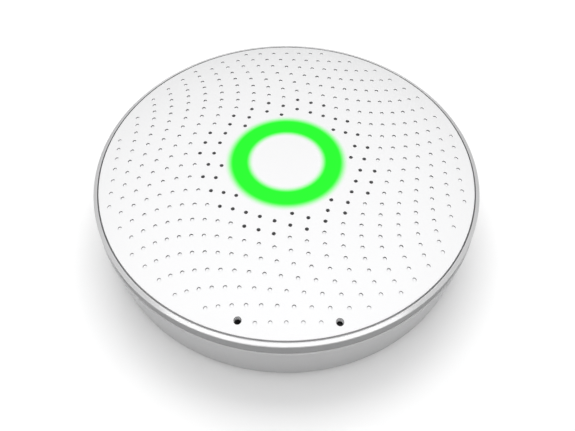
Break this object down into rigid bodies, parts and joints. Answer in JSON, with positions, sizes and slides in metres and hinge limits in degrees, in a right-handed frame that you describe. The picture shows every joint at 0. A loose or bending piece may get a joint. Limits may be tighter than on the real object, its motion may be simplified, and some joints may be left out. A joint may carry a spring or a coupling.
{
  "type": "air quality monitor",
  "caption": "Round battery air quality monitor: domed cover with a twisted field of vents and dimples, a glowing status ring, and a magnetic plate behind for wall or table.",
  "frame": {"origin": "centre of the wall plate's flat rear face, which is the bottom of the object's box", "axes": "+Z out of the wall and through the domed front cover; +Y towards the top when wall mounted, with the two ports at -Y; +X to the right as seen from the front"},
  "size_m": [0.1202, 0.1202, 0.0285],
  "materials": {
    "cover_white": "satin",
    "bezel_white": "satin",
    "housing_white": "matte",
    "plate_white": "matte",
    "keeper_steel": "satin",
    "magnet_nickel": "gloss",
    "screw_steel": "satin",
    "board_green": "satin",
    "led_resin": "gloss",
    "reflector_white": "matte",
    "guide_clear": "satin",
    "sensor_can": "satin",
    "lens_dark": "gloss",
    "chip_black": "matte",
    "foam_black": "matte",
    "chamber_black": "matte",
    "module_gold": "satin",
    "module_blue": "satin",
    "capacitor_tan": "satin",
    "cell_wrap": "gloss",
    "contact_nickel": "gloss"
  },
  "bodies": {
    "plate": {"wall_plate": "plate_white", "keeper_disc_1": "keeper_steel", "keeper_disc_2": "keeper_steel", "keeper_disc_3": "keeper_steel", "keeper_disc_4": "keeper_steel"},
    "monitor": {"front_cover": "cover_white", "bezel": "bezel_white", "rear_housing": "housing_white", "main_board": "board_green", "reflector_ring": "reflector_white", "light_guide": "guide_clear", "motion_sensor": "sensor_can", "vent_mesh": "foam_black", "light_sensor": "chip_black", "light_pipe": "lens_dark", "sounder": "chip_black", "sounder_gasket": "foam_black", "gas_sensor": "sensor_can", "humidity_sensor": "chip_black", "pressure_sensor": "sensor_can", "co2_module": "module_gold", "radio_module": "module_blue", "radio_shield": "sensor_can", "processor": "chip_black", "amplifier_shield": "sensor_can", "crystal": "sensor_can", "power_coil": "chip_black", "bulk_capacitor": "capacitor_tan", "chamber_cup": "chamber_black", "chamber_seal": "foam_black", "photodiode": "chip_black", "cell_1": "cell_wrap", "cell_2": "cell_wrap", "contact_spring_1": "contact_nickel", "contact_spring_2": "contact_nickel", "positive_tab": "contact_nickel", "negative_tab": "contact_nickel", "contact_bridge": "contact_nickel", "magnet_1": "magnet_nickel", "housing_screw_1": "screw_steel", "magnet_2": "magnet_nickel", "housing_screw_2": "screw_steel", "magnet_3": "magnet_nickel", "housing_screw_3": "screw_steel", "magnet_4": "magnet_nickel", "housing_screw_4": "screw_steel", "board_screw_1": "screw_steel", "board_screw_2": "screw_steel", "board_screw_3": "screw_steel", "led_1": "led_resin", "led_2": "led_resin", "led_3": "led_resin", "led_4": "led_resin", "led_5": "led_resin", "led_6": "led_resin"}
  },
  "joints": [
    {"name": "monitor_lift", "type": "slide", "parent": "plate", "child": "monitor", "axis": [0, 0, 1], "range_m": [0, 0.045]}
  ]
}
